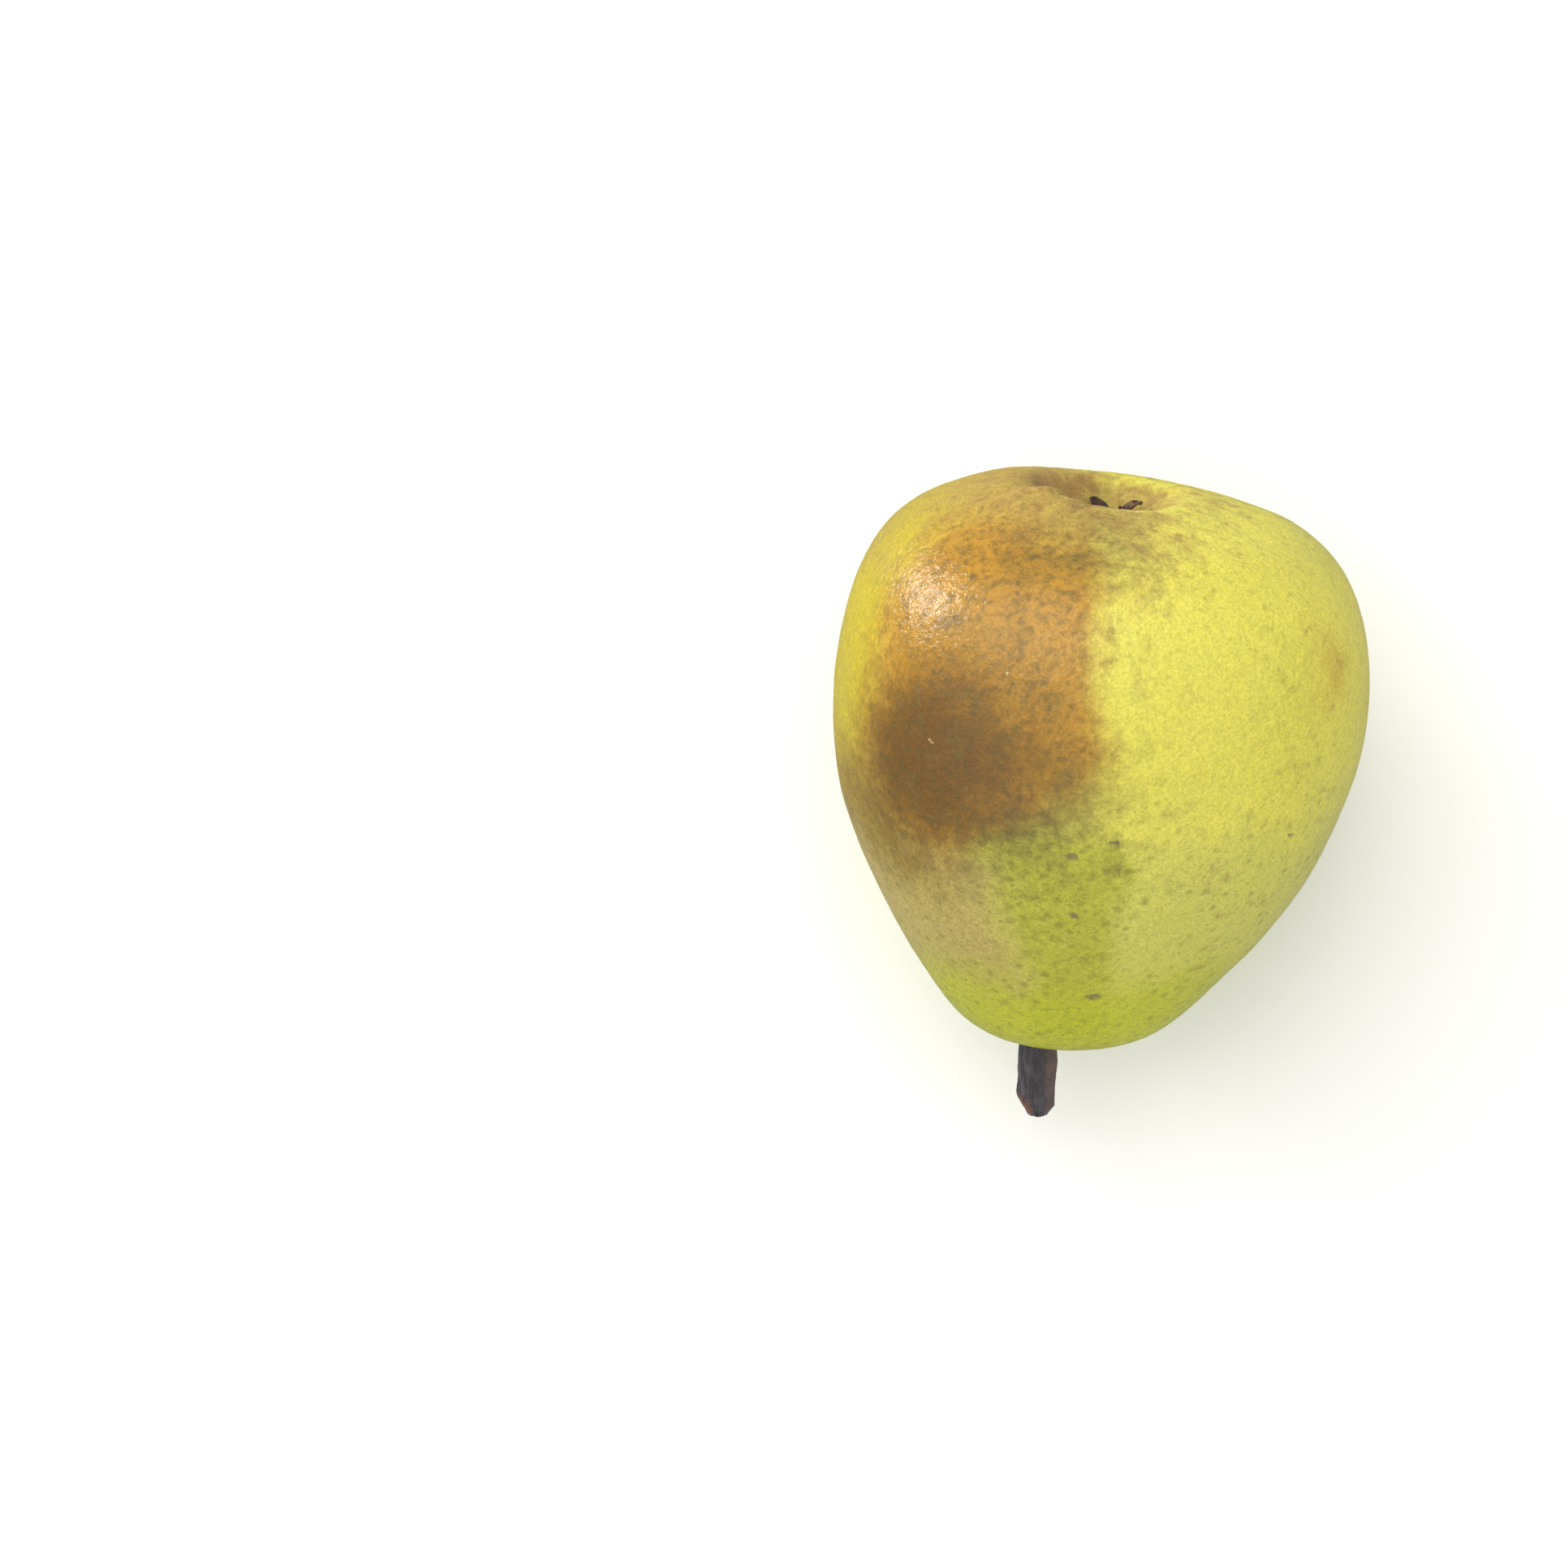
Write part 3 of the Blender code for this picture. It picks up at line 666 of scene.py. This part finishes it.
def makeStem(material):
    p = stemPiece
    mesh, ball = ballMesh("pearStem", p["around"], p["along"])
    around = np.arctan2(ball[:, 1], ball[:, 0])
    rings = np.round(np.arccos(np.clip(ball[:, 2], -1.0, 1.0)) / math.pi * p["along"])
    barkRings = p["along"] - p["rootRings"] - p["capRings"]
    share = np.clip((rings - p["rootRings"]) / barkRings, 0.0, 1.0)                    # along the bark
    cap = np.clip((rings - p["rootRings"] - barkRings) / p["capRings"], 0.0, 1.0)      # over the cut end
    rootCap = np.clip((p["rootRings"] - rings) / p["rootRings"], 0.0, 1.0)
    down = share * p["length"]
    left = 0.5 - 0.5 * np.cos(around)
    chamfer = p["chamferRight"] + (p["chamferLeft"] - p["chamferRight"]) * left
    narrowing = np.clip((down - p["length"] + chamfer) / chamfer, 0.0, 1.0) ** p["chamferPower"]
    radius = p["radius"] + p["rootFlare"] * np.exp(-down / p["flareLength"])
    radius += p["tipSwell"] * smoothStep(*p["swellFrom"], down)
    radius -= (radius - p["tipRadius"]) * narrowing
    skin = np.stack((np.cos(around) * 2.2, np.sin(around) * 2.2, down * 0.28), axis=1)
    furrow = noiseAt(skin, (0.95, 0.95, 0.35), 21.0) + 0.5 * noiseAt(skin, (1.9, 1.9, 0.8), 22.0)
    knob = noiseAt(skin, (0.6, 0.6, 2.4), 23.0)
    grain = noiseAt(skin, (4.0, 4.0, 7.0), 24.0)
    radius += p["furrows"] * furrow + p["knobs"] * np.maximum(knob, 0.0) + p["grain"] * grain
    radius *= (1.0 - cap) * (1.0 - rootCap)
    bow = p["shift"] - p["bow"] * np.sin(math.pi * share * 0.9)
    bow -= p["leftSwell"] * left**2 * bell(down, *p["leftSwellAt"])
    bow -= p["rightTaper"] * (1.0 - left) ** 2 * smoothStep(*p["taperFrom"], down)
    chips = p["chips"] * noiseAt(skin + 3.0, (1.4, 1.4, 0.0), 25.0) * smoothStep(0.85, 1.0, share)
    height = p["top"] - down + chips * (1.0 - 0.5 * cap) + p["endDome"] * np.sin(cap * math.pi / 2.0)
    x = pearShape["seatX"] + bow + radius * np.cos(around)
    points = np.stack((x, radius * np.sin(around), height), axis=1)
    setPoints(mesh, inWorld(points))
    edge = 0.9 * bell(down, p["length"] - 1.1, 0.9) * (1.0 - cap) * smoothStep(0.55, 0.95, left)
    masks = {"edge": edge, "aside": smoothStep(0.45, 0.05, left), "cut": smoothStep(0.05, 0.35, cap)}
    storeOn(mesh, "stemPlace", points, masks)
    mesh.update()
    newPiece("pearStem", mesh, material, "stem_bark", "stem")
    print("stem shaped:", len(mesh.polygons), "faces")


makeStem(stemMaterial())


# the calyx: five dried sepals round a tuft of dried stamens and styles

sepalPiece = {
    "count": 5, "length": 4.3, "width": 2.5, "thickness": 0.24, "circle": 2.0, "sink": 0.5,
    "tipWidth": 0.14, "cup": 0.42, "ridge": 0.10, "ripple": 0.22, "twist": 0.5, "ragged": 0.16,
    "opening": math.radians(6.0), "curl": math.radians(78.0),
    "lengthVaries": 0.14, "curlVaries": 0.22, "openingVaries": math.radians(7.0), "turnVaries": 0.12,
    "stepsAlong": 26, "stepsAcross": 12,
    "brown": "#4a2f1b", "black": "#1a120c", "felt": "#8d7654",
}

stamenPiece = {
    "count": 18, "styles": 5, "radius": 0.11, "length": 2.7, "sink": 0.8, "steps": 9, "seed": 5,
    "circle": 1.35, "styleCircle": 0.28, "styleThickness": 1.5,
    "brown": "#3a2416", "tip": "#120c08",
}


def dryMaterial(name, dark, light, felt):
    material, tree, shader = newMaterial(name)
    place = addNode(tree, "ShaderNodeTexCoord").outputs["Object"]
    veins = noiseNode(tree, place, 900.0, 4.0, 0.6)
    patch = noiseNode(tree, place, 350.0, 3.0, 0.6)
    colour = blendColour(tree, ramp(tree, veins, 0.35, 0.65), colourOf(dark), colourOf(light))
    feltShare = calc(tree, "MULTIPLY", ramp(tree, patch, 0.48, 0.70), 0.7)
    colour = blendColour(tree, feltShare, colour, colourOf(felt))
    plug(tree, shader.inputs["Base Color"], colour)
    plug(tree, shader.inputs["Roughness"], ramp(tree, veins, 0.3, 0.7, 0.7, 0.92))
    bump = addNode(tree, "ShaderNodeBump", {"Height": veins, "Distance": 0.12 * mm, "Strength": 1.0})
    plug(tree, shader.inputs["Normal"], bump.outputs["Normal"])
    return material


def makeSepal(index, material):
    p = sepalPiece
    seed = 31.0 + index
    length = p["length"] * (1.0 + p["lengthVaries"] * math.sin(2.3 * index + 0.4))
    curl = p["curl"] * (1.0 + p["curlVaries"] * math.sin(1.7 * index + 1.1))
    opening = p["opening"] + p["openingVaries"] * math.sin(2.9 * index)
    turn = 2.0 * math.pi * (index + 0.5) / p["count"] + p["turnVaries"] * math.sin(3.1 * index)
    stand = Matrix.Translation(eye) @ Matrix.Rotation(turn, 4, "Z")
    bendRadius = length / curl
    shape = bmesh.new()
    bmesh.ops.create_grid(shape, x_segments=p["stepsAcross"], y_segments=p["stepsAlong"], size=0.5)
    for vertex in shape.verts:
        across = vertex.co.x * 2.0
        along = vertex.co.y + 0.5
        ragged = 1.0 + p["ragged"] * noise.noise(Vector((across * 0.6, along * 5.0, seed)))
        width = (p["width"] * (1.0 - along**1.7) * ragged + p["tipWidth"]) / 2.0
        bend = opening + curl * along
        out = bendRadius * (math.cos(opening) - math.cos(bend))
        up = bendRadius * (math.sin(bend) - math.sin(opening))
        ripple = p["ripple"] * noise.noise(Vector((across * 1.4, along * 3.5, seed + 7.0))) * (0.3 + along)
        lift = p["cup"] * width * across**2 - p["ridge"] * (1.0 - abs(across)) + ripple
        sideways = across * width + p["twist"] * noise.noise(Vector((seed, along * 1.5, 0.0))) * along
        outward = p["circle"] + out - lift * math.cos(bend)
        local = Vector((outward, sideways, up + lift * math.sin(bend) - p["sink"]))
        vertex.co = pearToWorld @ (stand @ local)
    mesh = meshFrom(shape, f"calyxSepal{index + 1}")
    piece = newPiece(f"calyxSepal{index + 1}", mesh, material, "dry_calyx", f"sepal_{index + 1}")
    thick = piece.modifiers.new("thickness", "SOLIDIFY")
    thick.thickness = p["thickness"] * mm
    thick.offset = 0.0
    smooth = piece.modifiers.new("smooth", "SUBSURF")
    smooth.levels = smooth.render_levels = 1


def makeStamens(material):
    p = stamenPiece
    draw = np.random.default_rng(p["seed"])
    curve = bpy.data.curves.new("calyxStamens", "CURVE")
    curve.dimensions = "3D"
    curve.bevel_depth = p["radius"] * mm
    curve.bevel_resolution = 3
    curve.use_fill_caps = True
    for i in range(p["count"] + p["styles"]):
        style = i >= p["count"]
        turn = 2.0 * math.pi * i / (p["styles"] if style else p["count"]) + draw.uniform(-0.15, 0.15)
        start = p["circle"] * (p["styleCircle"] if style else draw.uniform(0.75, 1.1))
        length = p["length"] * draw.uniform(0.7, 1.1)
        outward = draw.uniform(-0.2, 0.3) if style else draw.uniform(-0.9, 0.7)
        sway = draw.uniform(-0.5, 0.5)
        thickness = draw.uniform(0.8, 1.2) * (p["styleThickness"] if style else 1.0)
        spline = curve.splines.new("POLY")
        spline.points.add(p["steps"] - 1)
        for step, point in enumerate(spline.points):
            share = step / (p["steps"] - 1)
            away = start + outward * share**1.8
            angle = turn + sway * share**2
            rise = length * share - p["sink"]
            local = eye + Vector((away * math.cos(angle), away * math.sin(angle), rise))
            point.co = (*(pearToWorld @ local), 1.0)
            knob = 0.3 * share if style else 1.1 * math.exp(-((share - 0.93) ** 2) / 0.004)
            point.radius = thickness * (1.0 - 0.35 * share + knob)
    newPiece("calyxStamens", curve, material, "dry_calyx", "stamen_tuft")
    print("calyx made:", sepalPiece["count"], "sepals and", len(curve.splines), "filaments")


sepalDry = dryMaterial("dryCalyx", sepalPiece["black"], sepalPiece["brown"], sepalPiece["felt"])
stamenDry = dryMaterial("dryStamens", stamenPiece["tip"], stamenPiece["brown"], sepalPiece["brown"])
for number in range(sepalPiece["count"]):
    makeSepal(number, sepalDry)
makeStamens(stamenDry)


# the table, the light and the camera

table = {
    "size": 6.0, "colour": "#fafaf8", "roughness": 0.55,
    "cloudsPerMetre": 6.0, "cloudShade": (0.985, 1.0),
}

studio = {
    "sky": 0.95, "horizon": 0.30,       # the horizon is a share of the sky overhead
    "horizonFade": (-0.3, 0.5),         # upward parts of a direction between which it grows to the sky's
    "backdrop": 0.90,
    "lamps": [                 # name, place, size, power, colour
        ("sideSoftbox", (-0.42, 0.30, 0.068), 0.125, 1.3, "#fffaf2"),
        ("topSoftbox", (-0.30, 0.45, 0.85), 1.10, 4.2, "#ffffff"),
    ],
}

shot = {
    "lens": 80.0, "sensor": 36.0, "distance": 0.410,
    "nearest": 0.01, "farthest": 50.0,
    "tip": math.radians(5.3),          # the camera stands past straight overhead, towards the stem
    "aimHeight": -1.07,                # height on the pear's axis that the frame place below is for
    "inFrame": (0.2008, 0.0725),       # right of and above the frame's middle, as a share of its width
}


def makeTable():
    shape = bmesh.new()
    bmesh.ops.create_grid(shape, x_segments=1, y_segments=1, size=table["size"] / 2.0)
    mesh = meshFrom(shape, "tableTop")
    floor = bpy.data.objects.new("tableTop", mesh)
    bpy.context.scene.collection.objects.link(floor)
    material, tree, shader = newMaterial("paleTable")
    place = addNode(tree, "ShaderNodeTexCoord").outputs["Object"]
    cloud = noiseNode(tree, place, table["cloudsPerMetre"], 3.0, 0.5)
    shade = greyOf(tree, ramp(tree, cloud, 0.3, 0.7, *table["cloudShade"]))
    colour = blendColour(tree, 1.0, colourOf(table["colour"]), shade, "MULTIPLY")
    plug(tree, shader.inputs["Base Color"], colour)
    shader.inputs["Roughness"].default_value = table["roughness"]
    mesh.materials.append(material)
    floor.visible_glossy = False      # keeps the pale table out of the skin's shine
    print("table laid:", table["size"], "m across")


def makeLight():
    world = bpy.data.worlds.new("softRoom")
    world.use_nodes = True
    tree = world.node_tree
    background = tree.nodes["Background"]
    direction = addNode(tree, "ShaderNodeTexCoord").outputs["Generated"]
    upward = addNode(tree, "ShaderNodeSeparateXYZ", {"Vector": direction}).outputs["Z"]
    glow = ramp(tree, upward, *studio["horizonFade"], studio["sky"] * studio["horizon"], studio["sky"])
    seen = addNode(tree, "ShaderNodeLightPath").outputs["Is Camera Ray"]      # the backdrop itself stays pale
    behind = calc(tree, "MULTIPLY", seen, studio["backdrop"])
    plug(tree, background.inputs["Strength"], calc(tree, "MAXIMUM", glow, behind))
    background.inputs["Color"].default_value = (1.0, 1.0, 1.0, 1.0)
    bpy.context.scene.world = world
    target = pearToWorld @ Vector((0.0, 0.0, 0.0))
    for name, place, size, power, tint in studio["lamps"]:
        data = bpy.data.lights.new(name, "AREA")
        data.shape = "DISK"
        data.size = size
        data.energy = power
        data.color = colourOf(tint)[:3]
        lamp = bpy.data.objects.new(name, data)
        bpy.context.scene.collection.objects.link(lamp)
        lamp.location = place
        lamp.rotation_euler = (target - lamp.location).to_track_quat("-Z", "Y").to_euler()
        lamp.visible_camera = False
    print("light set:", len(studio["lamps"]), "soft lamps and a white room")


def makeCamera():
    scene = bpy.context.scene
    data = bpy.data.cameras.new("overheadCamera")
    data.lens = shot["lens"]
    data.sensor_width = shot["sensor"]
    data.clip_start = shot["nearest"]
    data.clip_end = shot["farthest"]
    camera = bpy.data.objects.new("overheadCamera", data)
    scene.collection.objects.link(camera)
    back = Vector((0.0, -math.sin(shot["tip"]), math.cos(shot["tip"])))
    right = Vector((1.0, 0.0, 0.0))
    upright = Matrix((right, back.cross(right), back)).transposed()
    width = shot["sensor"] / shot["lens"]
    seen = Vector((shot["inFrame"][0] * width, shot["inFrame"][1] * width, -1.0)).normalized()
    turned = seen.rotation_difference(Vector((0.0, 0.0, -1.0))).to_matrix()
    aim = pearToWorld @ Vector((0.0, 0.0, shot["aimHeight"]))
    camera.matrix_world = Matrix.Translation(aim + back * shot["distance"]) @ (upright @ turned).to_4x4()
    scene.camera = camera
    scene.view_settings.view_transform = "Standard"
    print("camera set at", [round(v, 3) for v in camera.matrix_world.translation])


makeTable()
makeLight()
makeCamera()
